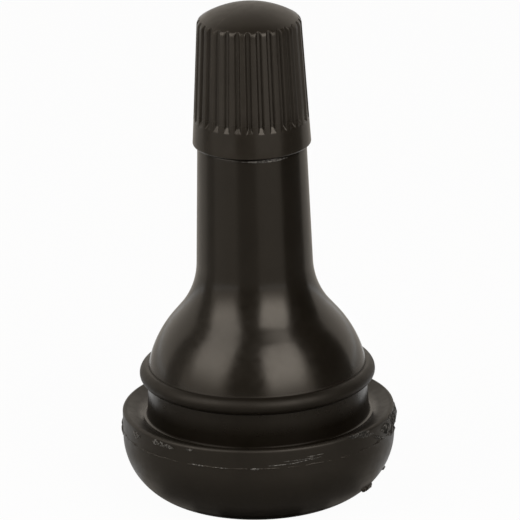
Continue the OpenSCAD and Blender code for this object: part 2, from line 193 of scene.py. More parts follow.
def bell_circles():
    """Centres of the bell's shoulder and of the hollow that runs into the neck."""
    s, f, t = (math.radians(a) for a in (BELL_SLOPE, BELL_FOOT_SLOPE, NECK_TAPER))
    rise = BELL_HOLLOW_R * (math.sin(s) - math.sin(t)) + BELL_ROUND_R * (math.sin(s) - math.sin(f))
    run = BELL_HOLLOW_R * (math.cos(t) - math.cos(s)) + BELL_ROUND_R * (math.cos(f) - math.cos(s))
    inward = BELL_FOOT_R - NECK_TOP_R - (NECK_TOP_H - BEAD_H) * math.tan(t)
    flat = (inward - run + rise * math.tan(t)) / (math.sin(s) - math.cos(s) * math.tan(t))
    shoulder = np.array((BELL_FOOT_R, BEAD_H)) - BELL_ROUND_R * along(BELL_FOOT_SLOPE)
    hollow = shoulder + (BELL_ROUND_R + BELL_HOLLOW_R) * along(BELL_SLOPE) + flat * along(BELL_SLOPE + 90)
    return shoulder, hollow


def body_outline():
    """The rubber's closed outline: up the outside, then down the stem's seat and the air hole."""
    flank_c, flank_r, flank_start = flank_circle()
    shoulder, hollow = bell_circles()
    lip_c, groove_c, dish_slope = dish_roundings()
    bead_c = (GROOVE_R, BEAD_H)
    wall_gap = 0.05
    lip = arc(lip_c, LIP_ROUND, 0, 90 + dish_slope, FINE_STEP)
    groove = arc(groove_c, GROOVE_ROUND, dish_slope - 90, GROOVE_LEAN - 180, FINE_STEP)
    # The bead's arc starts at the groove's wall and ends inside the bell
    bead = arc(bead_c, BEAD_R, -88, 120, CLOSE_STEP)
    bell = arc(shoulder, BELL_ROUND_R, BELL_FOOT_SLOPE, BELL_SLOPE)
    neck = arc(hollow, BELL_HOLLOW_R, BELL_SLOPE + 180, NECK_TAPER + 180)
    top = arc((NECK_TOP_R - NECK_ROUND, NECK_TOP_H - NECK_ROUND), NECK_ROUND, NECK_TAPER, 90)
    return [
        *line((AIR_HOLE_R + AIR_MOUTH, 0), (FOOT_R, 0), WIDE_STEP)[:-1],
        *arc(flank_c, flank_r, flank_start, 0),
        *line((BASE_R, FLANK_H), lip[0])[1:-1],
        *lip,
        *line(lip[-1], groove[0])[1:-1],
        *groove,
        *clear_of(line(groove[-1], bead_c)[1:], bead_c, BEAD_R + wall_gap),
        *clear_of(bead, shoulder, BELL_ROUND_R),
        *clear_of(bell, bead_c, BEAD_R),
        *neck,
        *line(neck[-1], top[0])[1:-1],
        *top,
        *body_bore(),
    ]


def body_bore():
    """The rubber's inside from the neck's top down: the stem's ridged seat, then the air hole."""
    wide, shank, flange = (r + BOND_GAP for r in (THREAD_R, SHANK_R, STEM_FLANGE_R))
    ridge = shank - BOND_DEPTH
    seat = STEM_FOOT_H - BOND_GAP
    points = [(wide, NECK_TOP_H), (wide, THREAD_LOW - BOND_GAP), (shank, THREAD_LOW - BOND_GAP)]
    for low in reversed(BOND_LOWS):
        top, bottom = low + BOND_W - BOND_GAP, low + BOND_GAP
        points += [(shank, top), (ridge, top), (ridge, bottom), (shank, bottom)]
    return points + [
        (shank, FLANGE_TOP + BOND_GAP),
        (flange, FLANGE_TOP + BOND_GAP),
        (flange, seat),
        *line((AIR_HOLE_R, seat), (AIR_HOLE_R, AIR_MOUTH), WIDE_STEP),
    ]


def stem_outline():
    """The stem's closed outline, with its threaded length at the thread's root."""
    root, floor = THREAD_R - THREAD_DEPTH, SHANK_R - BOND_DEPTH
    cone_r = CHAMBER_R + (SEAT_HIGH - SEAT_LOW) * math.tan(math.radians(SEAT_SLOPE))
    points = [(STEM_FLANGE_R, STEM_FOOT_H), (STEM_FLANGE_R, FLANGE_TOP), (SHANK_R, FLANGE_TOP)]
    for low in BOND_LOWS:
        points += [(SHANK_R, low), (floor, low), (floor, low + BOND_W), (SHANK_R, low + BOND_W)]
    return points + [
        (SHANK_R, THREAD_LOW),
        *line((root, THREAD_LOW + THREAD_LEAD), (root, VALVE_LEN), WIDE_STEP),
        (PLUG_BORE_R + TIP_BORE, VALVE_LEN),
        (PLUG_BORE_R, VALVE_LEN - TIP_BORE),
        (PLUG_BORE_R, SEAT_HIGH),
        (cone_r, SEAT_HIGH),
        (CHAMBER_R, SEAT_LOW),
        (CHAMBER_R, CHAMBER_LOW),
        (PASSAGE_R, CHAMBER_LOW),
        (PASSAGE_R, STEM_FOOT_H),
    ]


def cap_side_r(z):
    """Radius of the cap's drafted side at a height."""
    return CAP_LOW_R - (z - CAP_LOW) * CAP_LEAN


def cap_edge():
    """Centre of the top's rounded edge, which touches the drafted side and the dome from inside."""
    a = cap_side_r(0) - DOME_ROUND / math.cos(math.radians(CAP_DRAFT))
    b = a * CAP_LEAN + DOME_C
    q = a * a + DOME_C**2 - (DOME_R - DOME_ROUND) ** 2
    k = 1 + CAP_LEAN**2
    z = (b + math.sqrt(b * b - k * q)) / k
    return a - z * CAP_LEAN, z


def cap_inside():
    """The cap's inside, from the middle of the roof down the bore."""
    roof_ring_r = 1.2
    return [
        (roof_ring_r, ROOF_LOW),
        *line((CAP_BORE_R, ROOF_LOW), (CAP_BORE_R, CAP_LOW + LEAD_IN), 2 * WIDE_STEP),
        (CAP_BORE_R + LEAD_IN, CAP_LOW),
    ]


def cap_outside():
    """The cap's outside from the skirt up, with close points where the flutes run out at either end."""
    margin, dome_fine_r, dome_tip_r, dome_thinning = 0.15, 3.7, 0.2, 6
    edge = cap_edge()
    edge_turn = math.degrees(math.atan2(edge[1] - DOME_C, edge[0]))
    skirt = arc((CAP_LOW_R - SKIRT_ROUND, CAP_LOW + SKIRT_ROUND), SKIRT_ROUND, -90, CAP_DRAFT, FINE_STEP)
    rim = arc(edge, DOME_ROUND, CAP_DRAFT, edge_turn, FINE_STEP)
    dome = arc((0, DOME_C), DOME_R, edge_turn, 90, CLOSE_STEP)[1:]
    run_heights = (CAP_LOW + BAND_H - margin, CAP_LOW + BAND_H + RUN_OUT + margin)
    run_low, run_high = ((cap_side_r(z), z) for z in run_heights)
    return [
        *skirt,
        *line(skirt[-1], run_low, step=0.5)[1:-1],
        *line(run_low, run_high, step=0.05),
        *line(run_high, rim[0], step=0.9)[1:-1],
        *rim,
        *[p for p in dome if p[0] > dome_fine_r],
        *[p for p in dome if dome_tip_r < p[0] <= dome_fine_r][::dome_thinning],
    ]


# Shapes: a (points, faces) pair, points in millimetres


def level_ring(radius, turns, z):
    """Points at one height, at an array of turns about the axis in radians."""
    return np.stack([radius * np.cos(turns), radius * np.sin(turns), np.full(len(turns), z)], 1)


def upright(section, turn):
    """A section of (radius, height) points, set at a turn about the axis in radians."""
    return np.array([(r * math.cos(turn), r * math.sin(turn), z) for r, z in section])


def loft(rings, closed=False, start=None, end=None):
    """Skin over rings of points.

    Closed joins the last ring to the first. Start and end are points that close the skin's two ends.
    """
    n, k = len(rings[0]), np.arange(len(rings[0]))
    following = (k + 1) % n
    points, faces = [np.concatenate(rings)], []
    for i in range(len(rings) if closed else len(rings) - 1):
        a, b = i * n, (i + 1) % len(rings) * n
        faces += np.stack([a + k, a + following, b + following, b + k], 1).tolist()
    used = n * len(rings)
    for first, tip in ((0, start), (used - n, end)):
        if tip is not None:
            faces += [[first + i, first + j, used] for i, j in zip(k.tolist(), following.tolist())]
            points.append(np.array([tip], float))
            used += 1
    return np.concatenate(points), faces


def capped(rings):
    """Skin over rings of points, with both ends closed."""
    return loft(rings, start=rings[0].mean(0), end=rings[-1].mean(0))


def turned(outline, segments):
    """A closed outline turned about the axis."""
    turns = np.linspace(0, 2 * math.pi, segments, endpoint=False)
    return loft([level_ring(r, turns, z) for r, z in outline], closed=True)


def joined(shapes):
    """Several shapes as one."""
    points, faces, used = [], [], 0
    for p, f in shapes:
        points.append(p)
        faces += [[i + used for i in face] for face in f]
        used += len(p)
    return np.concatenate(points), faces


def bend(x, soft):
    """0 for low x and x for high x, with the bend rounded from -soft to soft."""
    return np.where(x < -soft, 0.0, np.where(x > soft, x, (x + soft) ** 2 / (4 * soft)))


def slope(x, soft=0.12):
    """From 0 at x = 0 to 1 at x = 1, with rounded ends."""
    return bend(x, soft) - bend(x - 1, soft)


# Offsets from a flute's middle that follow its edges, so that each edge stays on one line of points
FLUTE_OFFSETS = [
    0.0,
    *[FLUTE_FLOOR / 2 + step for step in (-0.04, -0.01, 0.015, 0.05, 0.11)],
    *[FLUTE_MOUTH / 2 + step for step in (-0.045, -0.015, 0.015, 0.05)],
]


def cap_ring(r, z, fluted):
    """Points round the cap at one height; fluted cuts the flutes in."""
    around = cap_side_r(z)
    pitch = 2 * math.pi / FLUTE_N
    land = pitch / 2 * around
    half = [*FLUTE_OFFSETS, (FLUTE_OFFSETS[-1] + land) / 2]
    offset = np.array([*[-w for w in half[:0:-1]], *half, land])
    cut = 0 * offset
    if fluted:
        depth = FLUTE_DEPTH * slope((FLUTE_MOUTH / 2 - abs(offset)) / ((FLUTE_MOUTH - FLUTE_FLOOR) / 2))
        height = (z - CAP_LOW) / math.cos(math.radians(CAP_DRAFT))
        run = FLUTE_DEPTH * slope(np.full(len(offset), (height - BAND_H) / RUN_OUT))
        depth = depth - bend(depth - run, RUN_OUT_SOFT)
        reach = depth * (FLUTE_DEPTH + FLUTE_SOFT) / FLUTE_DEPTH - FLUTE_SOFT
        cut = bend(r - around + reach, FLUTE_SOFT)
    turns = math.radians(FLUTE_TURN) + np.add.outer(pitch * np.arange(FLUTE_N), offset / around).ravel()
    return level_ring(np.tile(r - cut, FLUTE_N), turns, z)


def fluted_cap():
    """Drafted cap with a domed top, flutes above a plain band, and a bore for the stem's thread."""
    inside = [cap_ring(r, z, fluted=False) for r, z in cap_inside()]
    outside = [cap_ring(r, z, fluted=True) for r, z in cap_outside()]
    return loft(inside + outside, start=(0, 0, ROOF_LOW), end=(0, 0, CAP_TOP))


def thread(root, crest, low, high, shift=0.0):
    """A right-hand ridge wound from low to high, fading out at each end; shift lifts it, in pitches."""
    steps, fade_turns, least_fade = 64, 0.5, 0.02
    foot_half, crest_half = 0.42 * PITCH, 0.07 * PITCH
    foot = root - 0.12 * (crest - root)
    count = int((high - low) / PITCH * steps)
    rings = []
    for i in range(count + 1):
        turns = i / steps
        fade = min(1.0, turns / fade_turns, (count - i) / steps / fade_turns)
        top = root + (crest - root) * max(fade, least_fade)
        z = low + (turns + shift) * PITCH
        section = ((foot, z - foot_half), (top, z - crest_half), (top, z + crest_half), (foot, z + foot_half))
        rings.append(upright(section, 2 * math.pi * turns))
    return capped(rings)


# Fin, flash and crumbs that the mould and tearing leave

PARTING_H = 6.4
FIN_STEPS = 1440
FIN_REACH = 0.02
FIN_REACH_MAX = 0.09
FIN_SWELL = 0.10
FIN_SWELLS_A_RADIAN = 9
FIN_CHIPS = 0.05
FIN_CHIPS_A_RADIAN = 60
FIN_WANDER = 0.05
FIN_WANDERS_A_RADIAN = 14
FIN_SUNK = 0.06
FIN_FOOT_HALF = 0.12
FIN_EDGE_LOW = 0.04
FIN_EDGE_HIGH = 0.03
FLASH_SUNK = 0.1
FLASH_STEPS_A_DEGREE = 2.5
CRUMB_CORNERS = 7
# A crumb's layers: distance out from the wall, share of its full size
CRUMB_LAYERS = ((-0.05, 1.0), (0.03, 1.0), (0.07, 0.6))

# Flash that the photograph shows: turn in degrees and height of both ends, tallness, reach
# These strips get pale flecks that are painted glints
GLINT_PAINTED_FLASH = [
    ((-120, 6.46), (-113, 6.42), 0.16, 0.09),
    ((-110, 6.42), (-103, 6.4), 0.14, 0.09),
    ((-94, 6.4), (-90, 6.4), 0.2, 0.09),
    ((-87, 6.65), (-72, 6.75), 0.1, 0.06),
    ((-80, 6.95), (-66, 7.0), 0.08, 0.05),
    ((-76, 6.75), (-63, 6.95), 0.1, 0.06),
    ((-70, 7.15), (-62, 7.2), 0.08, 0.05),
    ((-24, 7.4), (-18, 7.25), 0.35, 0.26),
]
TORN_FLASH = [
    ((-27, 7.3), (10, 7.0), 1.6, 0.26),
    ((-20, 6.3), (-5, 6.1), 0.5, 0.18),
    ((-34, 7.25), (-22, 6.25), 0.35, 0.14),
    ((-49, 7.98), (-36, 7.9), 0.4, 0.06),
    ((-43, 7.7), (-33, 7.5), 0.35, 0.06),
    ((175, 6.8), (184, 5.9), 0.8, 0.15),
]
# Tabs of whole rubber that are left on the flank
TABS = [
    ((-33, 1.95), (-22, 1.95), 0.9, 0.25),
    ((-16, 2.85), (-9, 2.65), 0.35, 0.18),
]
# Crumbs on the base's wall: turn and height of a cluster's middle, its half width and half height, number
CRUMBS = [
    ((-154, 7.4), (3.6, 0.34), 15),
    ((-137, 7.58), (4.6, 0.26), 16),
    ((-131.5, 7.6), (2.4, 0.28), 15),
    ((-121, 7.7), (2.0, 0.08), 4),
]
# Turns between which a sliver of flash edges the neck's top
SLIVER = (-112, -50)


def parting_fin():
    """The thin, broken fin that the mould leaves round the base."""
    chips_shift, wander_shift = Vector((3, 7, 1)), Vector((5, 2, 8))
    foot_r = BASE_R - FIN_SUNK
    rings = []
    for i in range(FIN_STEPS):
        turn = 2 * math.pi * i / FIN_STEPS
        on_circle = Vector((math.cos(turn), math.sin(turn), 0))
        swell = FIN_SWELL * noise.fractal(on_circle * FIN_SWELLS_A_RADIAN, 1.0, 2.0, 3)
        chips = FIN_CHIPS * noise.noise(on_circle * FIN_CHIPS_A_RADIAN + chips_shift)
        edge_r = BASE_R + min(FIN_REACH_MAX, FIN_REACH + swell + chips)
        z = PARTING_H + FIN_WANDER * noise.noise(on_circle * FIN_WANDERS_A_RADIAN + wander_shift)
        section = (
            (foot_r, z - FIN_FOOT_HALF),
            (edge_r, z - FIN_EDGE_LOW),
            (edge_r, z + FIN_EDGE_HIGH),
            (foot_r, z + FIN_FOOT_HALF),
        )
        rings.append(upright(section, turn))
    return loft(rings, closed=True)


def torn_strip(start, end, tall, reach, seed, wild):
    """A ragged strip of flash on the base's wall, between two (turn in degrees, height) pairs."""
    steps = max(8, math.ceil(abs(end[0] - start[0]) * FLASH_STEPS_A_DEGREE))
    rings = []
    for i in range(steps + 1):
        t = i / steps
        turn, z = (a + (b - a) * t for a, b in zip(start, end))
        ragged = [wild * noise.noise(Vector((seed, 0.55 * i, 5 * k))) for k in range(3)]
        fade = min(1.0, 5 * t + 0.1, 5 * (1 - t) + 0.1)
        out = reach * fade * min(1.0, 0.8 + 0.9 * ragged[0])
        low, high = (tall / 2 * fade * (0.8 + 0.8 * r) for r in ragged[1:])
        section = (
            (-FLASH_SUNK, -low),
            (0.6 * out, -0.8 * low),
            (out, 0.1 * high),
            (0.5 * out, 0.8 * high),
            (-FLASH_SUNK, high),
        )
        rings.append(upright([(wall_r(z) + p, z + h) for p, h in section], math.radians(turn)))
    return capped(rings)


def torn_strips(rows, seed_step, wild=1.0):
    """Strips of flash, each ragged in its own way; wild scales how ragged they are."""
    return [torn_strip(*row, seed_step * i, wild) for i, row in enumerate(rows)]


def crumb(draw, middle, half):
    """A small flattened lump on the base's wall, somewhere about a turn in degrees and a height."""
    turn, z = (m + h * draw.uniform(-1, 1) * draw.uniform(0.3, 1) for m, h in zip(middle, half))
    wide, tall, tilt = draw.uniform(0.08, 0.26), draw.uniform(0.06, 0.15), draw.uniform(-0.7, 0.7)
    rings = []
    for out, share in CRUMB_LAYERS:
        ring = []
        for corner in np.linspace(0, 2 * math.pi, CRUMB_CORNERS, endpoint=False):
            uneven = share * draw.uniform(0.6, 1.0)
            u, v = wide * uneven * math.cos(corner), tall * uneven * math.sin(corner)
            a = math.radians(turn) + (u * math.cos(tilt) - v * math.sin(tilt)) / BASE_R
            r = wall_r(z) + out
            ring.append((r * math.cos(a), r * math.sin(a), z + u * math.sin(tilt) + v * math.cos(tilt)))
        rings.append(np.array(ring))
    return capped(rings)


def crumb_cluster(middle, half, count, seed):
    """A scatter of crumbs."""
    draw = random.Random(seed)
    return joined([crumb(draw, middle, half) for _ in range(count)])


def neck_sliver(start, end):
    """A thin edge of flash at the neck's upper end, just under the cap, thickest beyond its middle."""
    steps, drop, sag, reach, below, above = 48, 0.17, 0.07, 0.12, 0.1, 0.2
    low_r, high_r = NECK_TOP_R - 0.05, NECK_TOP_R - 0.02
    rings = []
    for t in np.linspace(0, 1, steps + 1):
        swell = max(0.04, math.sin(math.pi * t**1.7)) ** 0.6
        edge = NECK_TOP_H - drop - sag * swell
        section = (
            (low_r, edge - below * swell),
            (NECK_TOP_R + reach * swell, edge),
            (high_r, edge + above * swell),
        )
        rings.append(upright(section, math.radians(start + (end - start) * t)))
    return capped(rings)


# Materials


class Nodes:
    """A node tree, which gets its nodes and wires one at a time."""

    def __init__(self, tree):
        self.tree = tree

    def add(self, kind, **settings):
        node = self.tree.nodes.new(kind)
        for key, value in settings.items():
            setattr(node, key, value)
        return node

    def wire(self, source, target):
        self.tree.links.new(source, target)

    def coordinate(self, vector, axis):
        node = self.add("ShaderNodeSeparateXYZ")
        self.wire(vector, node.inputs[0])
        return node.outputs[axis]

    def ramp(self, source, *stops):
        """Colours or levels along a value: (position, colour) pairs."""
        node = self.add("ShaderNodeValToRGB")
        elements = node.color_ramp.elements
        while len(elements) < len(stops):
            elements.new(0.5)
        while len(elements) > len(stops):
            elements.remove(elements[-1])
        for element, (position, colour) in zip(elements, stops):
            element.position = position
            element.color = (*colour, 1.0)
        self.wire(source, node.inputs["Fac"])
        return node.outputs["Color"]

    def span(self, source, low, high, start=0.3, end=0.7, curve="LINEAR"):
        """A level that runs from low to high while source runs from start to end."""
        node = self.add("ShaderNodeMapRange", interpolation_type=curve)
        for key, value in (("From Min", start), ("From Max", end), ("To Min", low), ("To Max", high)):
            if isinstance(value, bpy.types.NodeSocket):
                self.wire(value, node.inputs[key])
            else:
                node.inputs[key].default_value = value
        self.wire(source, node.inputs["Value"])
        return node.outputs["Result"]

    def seen_rays(self):
        """A level that is 1 for what the camera, a mirror or glass sees, and 0 for light on dull surfaces."""
        path = self.add("ShaderNodeLightPath")
        level = path.outputs["Is Camera Ray"]
        for ray in ("Is Glossy Ray", "Is Transmission Ray"):
            node = self.add("ShaderNodeMath", operation="MAXIMUM")
            self.wire(level, node.inputs[0])
            self.wire(path.outputs[ray], node.inputs[1])
            level = node.outputs[0]
        return level


class Surface(Nodes):
    """A material's nodes, which lead to its shader."""

    def __init__(self, name):
        self.material = bpy.data.materials.new(name)
        self.material.use_nodes = True
        super().__init__(self.material.node_tree)
        self.shader = self.tree.nodes["Principled BSDF"]
        self.place = self.add("ShaderNodeTexCoord").outputs["Object"]

    def noise(self, size, detail=3.0, roughness=0.55):
        """Noise with features of about size millimetres."""
        node = self.add("ShaderNodeTexNoise")
        node.inputs["Scale"].default_value = 1 / (size * MM)
        node.inputs["Detail"].default_value = detail
        node.inputs["Roughness"].default_value = roughness
        self.wire(self.place, node.inputs["Vector"])
        return node.outputs["Fac"]

    def by_height(self, levels):
        """A level that changes up the part at rest, from (height, level) pairs."""
        share = self.span(self.coordinate(self.place, "Z"), 0.0, 1.0, 0.0, CAP_TOP * MM)
        return self.ramp(share, *[(z / CAP_TOP, (level, level, level)) for z, level in levels])

    def beyond(self, radius, blur=0.05):
        """A level that is 0 near the axis and 1 farther from it than radius millimetres."""
        flat = self.add("ShaderNodeVectorMath", operation="MULTIPLY")
        flat.inputs[1].default_value = (1, 1, 0)
        self.wire(self.place, flat.inputs[0])
        far = self.add("ShaderNodeVectorMath", operation="LENGTH")
        self.wire(flat.outputs["Vector"], far.inputs[0])
        return self.span(far.outputs["Value"], 0.0, 1.0, (radius - blur) * MM, (radius + blur) * MM)

    def zones(self, inside, radius=None, outside=()):
        """A level by height, with other levels by height farther from the axis than radius."""
        near = self.by_height(inside)
        return near if radius is None else self.span(self.beyond(radius), near, self.by_height(outside))

    def uneven(self, level, swing):
        """A level that wanders up and down by swing in small patches."""
        node = self.add("ShaderNodeMath", operation="ADD")
        self.wire(level, node.inputs[0])
        self.wire(self.span(self.noise(0.7, detail=4.0), -swing, swing), node.inputs[1])
        return node.outputs[0]

    def blend(self, level, below, above):
        node = self.add("ShaderNodeMix", data_type="RGBA")
        self.wire(level, node.inputs["Factor"])
        self.wire(below, node.inputs["A"])
        self.wire(above, node.inputs["B"])
        return node.outputs["Result"]

    def relief(self, height, depth, under=None):
        """A bump depth millimetres deep, on top of another."""
        node = self.add("ShaderNodeBump")
        node.inputs["Distance"].default_value = depth * MM
        self.wire(height, node.inputs["Height"])
        if under is not None:
            self.wire(under, node.inputs["Normal"])
        return node.outputs["Normal"]

    def finish(self, colour, roughness, normal):
        self.wire(colour, self.shader.inputs["Base Color"])
        self.wire(roughness, self.shader.inputs["Roughness"])
        self.wire(normal, self.shader.inputs["Normal"])
        return self.material


WARM_SHEEN = (1.0, 0.95, 0.88)
# A wave texture's phase in radians, for each unit of its scaled coordinate
WAVE_PHASE = 20


def black_moulding(name, dark, light, rough, sheen, wave, grain):
    """Moulded rubber or plastic: mottled black, slightly wavy, finely grained, paler where edges are rubbed.

    Rough and sheen are what zones takes, for stretches that are more or less polished, or whose sheen is
    lowered as painted shade.
    Wave and grain are each a size and a depth.
    """
    s = Surface(name)
    s.wire(s.zones(*sheen), s.shader.inputs["Specular IOR Level"])
    s.shader.inputs["Specular Tint"].default_value = (*WARM_SHEEN, 1.0)
    mottle = s.ramp(s.noise(2.4, detail=5.0), (0.3, dark), (0.7, light))
    rubbed = s.span(s.add("ShaderNodeNewGeometry").outputs["Pointiness"], 0.0, 0.5, 0.515, 0.6)
    worn = s.ramp(s.noise(0.3), (0.4, light), (0.8, [3 * c for c in light]))
    swell = s.relief(s.noise(wave[0], detail=2.0), wave[1])
    skin = s.relief(s.noise(grain[0], detail=2.0), grain[1], under=swell)
    return s.finish(s.blend(rubbed, mottle, worn), s.uneven(s.zones(*rough), 0.04), skin)


def glint_flecked_moulding(name, dark, pale, flecks):
    """Torn flash: rough black with pale flecks that are painted glints, which cover more of it the lower that
    level is.
    """
    s = Surface(name)
    colour = s.ramp(s.noise(0.22, detail=4.0, roughness=0.7), (flecks - 0.06, dark), (flecks + 0.08, pale))
    return s.finish(colour, s.span(s.noise(0.3), 0.4, 0.6), s.relief(s.noise(0.12), 0.03))


def metal(name, dark, light, rough, ring, depth):
    """Turned or drawn metal: cloudy colour and tool rings, a radian of which is ring millimetres long."""
    s = Surface(name)
    s.shader.inputs["Metallic"].default_value = 1.0
    colour = s.ramp(s.noise(1.1, detail=4.0), (0.3, dark), (0.7, light))
    rings = s.add("ShaderNodeTexWave", bands_direction="Z")
    rings.inputs["Scale"].default_value = 1 / (ring * MM) / WAVE_PHASE
    rings.inputs["Distortion"].default_value = 1.5
    s.wire(s.place, rings.inputs["Vector"])
    skin = s.relief(rings.outputs["Fac"], depth, under=s.relief(s.noise(0.15), depth))
    return s.finish(colour, s.span(s.noise(0.25), *rough), skin)


def pale_polymer(name, dark, light):
    """Slippery off-white gasket material with faint cloudiness."""
    s = Surface(name)
    colour = s.ramp(s.noise(0.8, detail=4.0), (0.3, dark), (0.7, light))
    return s.finish(colour, s.span(s.noise(0.2), 0.35, 0.5), s.relief(s.noise(0.1), 0.003))


# Levels up the body, as (height, level) pairs: flank, groove foot, dish, groove, bead, then bell and neck
BODY_ROUGH = [
    (7.2, 0.45),
    (7.35, 0.2),
    (7.5, 0.2),
    (7.65, 0.43),
    (8.2, 0.43),
    (8.5, 0.3),
    (10.6, 0.3),
    (10.8, 0.5),
    (12.0, 0.5),
    (12.3, 0.22),
]
LIP_R = 11.55
LIP_ROUGH = [(0, 0.48)]
# Specular level up the body: lowered low in the groove under the bead as painted shade
GROOVE_SHEEN = [(7.4, 0.1), (8.6, 0.14), (9.8, 0.4), (10.8, 0.42), (11.9, 0.5)]
BEAD_OUT_R = 9.85
BEAD_SHEEN = [(8.3, 0.5), (10.3, 0.33)]
body_rubber = black_moulding(
    "body_rubber",
    dark=(0.0062, 0.0047, 0.0029),
    light=(0.0085, 0.0066, 0.0043),
    rough=(BODY_ROUGH, LIP_R, LIP_ROUGH),
    sheen=(GROOVE_SHEEN, BEAD_OUT_R, BEAD_SHEEN),
    wave=(5.0, 0.02),
    grain=(0.1, 0.0005),
)
# Pale flecks on the flash strips, crumbs and neck sliver are painted glints
glint_painted_rubber = glint_flecked_moulding("glint_painted_rubber", (0.012, 0.011, 0.009), (0.17, 0.165, 0.155), flecks=0.51)
# Pale flecks on the torn flash are painted highlights
torn_painted_glint_rubber = glint_flecked_moulding("torn_painted_glint_rubber", (0.004, 0.004, 0.003), (0.14, 0.135, 0.125), flecks=0.56)

# Levels up the cap: glossy band, dull flutes, satin rim, dull dome
CAP_ROUGH = [(34.2, 0.22), (35.0, 0.22), (36.2, 0.45), (42.6, 0.45), (43.2, 0.3), (43.8, 0.3), (44.1, 0.42)]
CAP_SHEEN = [(34.6, 0.4), (35.2, 0.46), (43.9, 0.46), (44.1, 0.58)]
cap_plastic = black_moulding(
    "cap_plastic",
    dark=(0.0155, 0.0128, 0.0096),
    light=(0.0205, 0.0172, 0.0134),
    rough=(CAP_ROUGH,),
    sheen=(CAP_SHEEN,),
    wave=(4.0, 0.01),
    grain=(0.09, 0.002),
)
seal_rubber = black_moulding(
    "seal_rubber",
    dark=(0.010, 0.009, 0.008),
    light=(0.016, 0.015, 0.013),
    rough=([(0, 0.62)],),
    sheen=([(0, 0.35)],),
    wave=(3.0, 0.01),
    grain=(0.08, 0.004),
)
stem_brass = metal(
    "stem_brass", (0.62, 0.42, 0.14), (0.78, 0.56, 0.24), rough=(0.22, 0.36), ring=0.09, depth=0.002
)
core_brass = metal(
    "core_brass", (0.58, 0.40, 0.15), (0.74, 0.54, 0.26), rough=(0.26, 0.40), ring=0.06, depth=0.0015
)
spring_steel = metal(
    "spring_steel", (0.42, 0.43, 0.45), (0.58, 0.59, 0.61), rough=(0.25, 0.38), ring=0.05, depth=0.001
)
gasket_polymer = pale_polymer("gasket_polymer", (0.68, 0.64, 0.54), (0.80, 0.77, 0.68))


# Pieces

BODY_SEGMENTS = 288
STEM_SEGMENTS = 128
WELD = 0.0001


def shade(mesh, sharp):
    """Smooth shading, with edges sharper than that many degrees kept crisp."""
    mesh.shade_smooth()
    mesh.set_sharp_from_angle(angle=math.radians(sharp))


def mesh_of(name, shape):
    """A shape as a mesh, with its faces turned outward."""
    points, faces = shape
    mesh = bpy.data.meshes.new(name)
    mesh.from_pydata((points * MM).tolist(), [], faces)
    edit = bmesh.new()
    edit.from_mesh(mesh)
    bmesh.ops.recalc_face_normals(edit, faces=edit.faces)
    edit.to_mesh(mesh)
    edit.free()
    return mesh


def welded(mesh):
    """A copy of a solid's mesh, with the corners that its faces share joined."""
    copy = mesh.copy()
    edit = bmesh.new()
    edit.from_mesh(copy)
    bmesh.ops.remove_doubles(edit, verts=edit.verts, dist=WELD * MM)
    edit.to_mesh(copy)
    edit.free()
    return copy


def piece(name, mesh, material, body, replaces=(), sharp=40):
    """A new object on a body. The mesh may also be a shape."""
    if isinstance(mesh, tuple):
        mesh = mesh_of(name, mesh)
    mesh.materials.clear()
    shade(mesh, sharp)
    mesh.materials.append(material)
    obj = bpy.data.objects.new(name, mesh)
    bpy.context.scene.collection.objects.link(obj)
    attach(obj, body)
    if replaces:
        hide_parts(*replaces)
    return obj


moulded = turned(body_outline(), BODY_SEGMENTS)
piece("moulded_body", moulded, body_rubber, "valve", ["rubber_body"])
piece("parting_fin", parting_fin(), body_rubber, "valve", sharp=60)
crumbs = [crumb_cluster(*cluster, seed=i) for i, cluster in enumerate(CRUMBS)]
# Flash strips, crumbs and the neck's sliver share pale flecks that are painted glints
glint_painted_shape = joined([*torn_strips(GLINT_PAINTED_FLASH, seed_step=1.3), *crumbs, neck_sliver(*SLIVER)])
piece("glint_painted_flash", glint_painted_shape, glint_painted_rubber, "valve", sharp=25)
# Torn flash, whose pale flecks are painted highlights
torn = joined(torn_strips(TORN_FLASH, seed_step=1.7))
piece("torn_flash", torn, torn_painted_glint_rubber, "valve", sharp=25)
tabs = joined(torn_strips(TABS, seed_step=2.7, wild=0.3))
piece("mould_tabs", tabs, body_rubber, "valve", sharp=25)
piece("fluted_cap", fluted_cap(), cap_plastic, "cap", ["cap_shell"], sharp=60)

# At rest, the cap's ridge lies midway between the turns of the stem's ridge
stem_start, cap_start = THREAD_LOW + STEM_RIDGE_IN, CAP_LOW + CAP_RIDGE_IN
between = 0.5 - (cap_start - stem_start) / PITCH % 1
cap_crest, cap_end = CAP_BORE_R - CAP_RIDGE_DEPTH, ROOF_LOW - CAP_RIDGE_OUT
cap_ridge = thread(CAP_BORE_R, cap_crest, cap_start, cap_end, shift=between)
piece("cap_thread", cap_ridge, cap_plastic, "cap")
stem = turned(stem_outline(), STEM_SEGMENTS)
piece("turned_stem", stem, stem_brass, "valve", ["valve_stem"], sharp=30)
stem_ridge = thread(THREAD_R - THREAD_DEPTH, THREAD_R, stem_start, VALVE_LEN - TIP_CHAMFER)
piece("stem_thread", stem_ridge, stem_brass, "valve", sharp=30)

# The spring keeps its solid's form
coil = welded(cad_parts["core_spring"].data)
spring = piece("coil_spring", coil, spring_steel, "valve", ["core_spring"])
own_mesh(spring)

NODE_FINISHES = {
    "core_plug": core_brass,
    "core_barrel": core_brass,
    "core_pin": core_brass,
    "pin_cup": core_brass,
    "barrel_gasket": gasket_polymer,
    "seat_washer": seal_rubber,
    "cap_seal": seal_rubber,
}
for name, material in NODE_FINISHES.items():
    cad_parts[name].material_slots[0].material = material


# Stage: lengths in metres; azimuth 0 is the camera's side, and positive turns to its right

